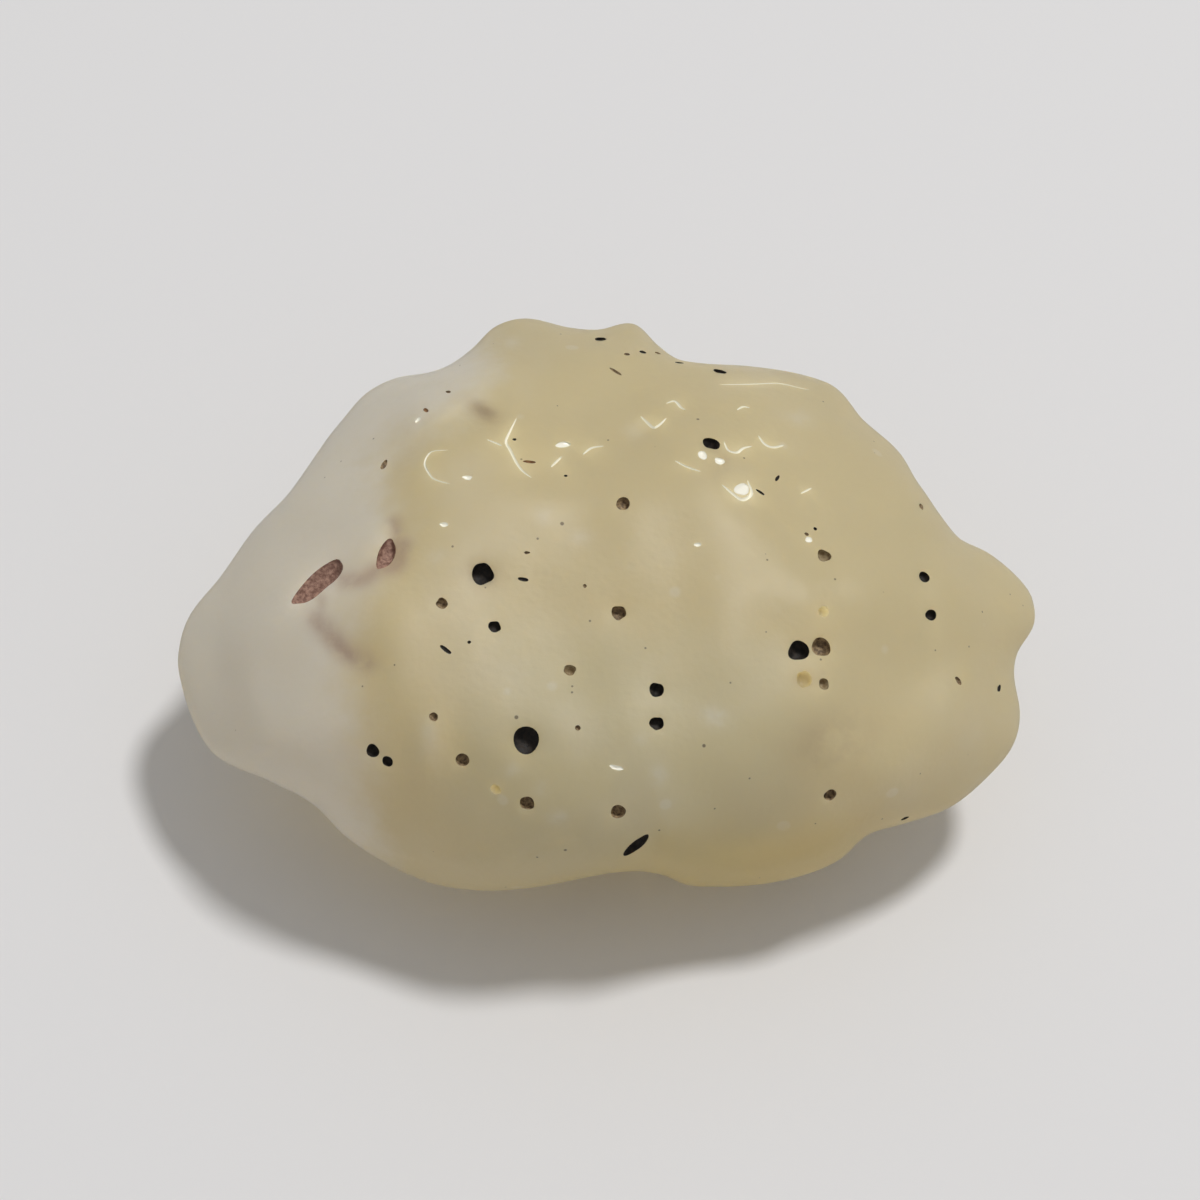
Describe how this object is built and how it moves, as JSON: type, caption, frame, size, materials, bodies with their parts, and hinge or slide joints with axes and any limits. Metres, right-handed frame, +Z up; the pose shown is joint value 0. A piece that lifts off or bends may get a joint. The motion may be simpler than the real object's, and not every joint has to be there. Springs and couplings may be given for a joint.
{
  "type": "libyan desert glass nodule",
  "caption": "Small wind-worn nodule of pale yellow-green natural desert glass, frosted and translucent, with open bubble pits, resting on a worn flat.",
  "frame": {"origin": "centre of the nodule's outer box, at the level of the flat that it rests on", "axes": "+X along the nodule's length towards its narrow notched tip, +Y towards its back, away from the broad leaning face, +Z up"},
  "size_m": [0.0398, 0.0286, 0.0187],
  "materials": {
    "desert_glass": "frosted, waxy, wind-worn natural glass, pale yellow-green and cloudy"
  },
  "bodies": {
    "root": {"glass": "desert_glass"}
  },
  "joints": []
}
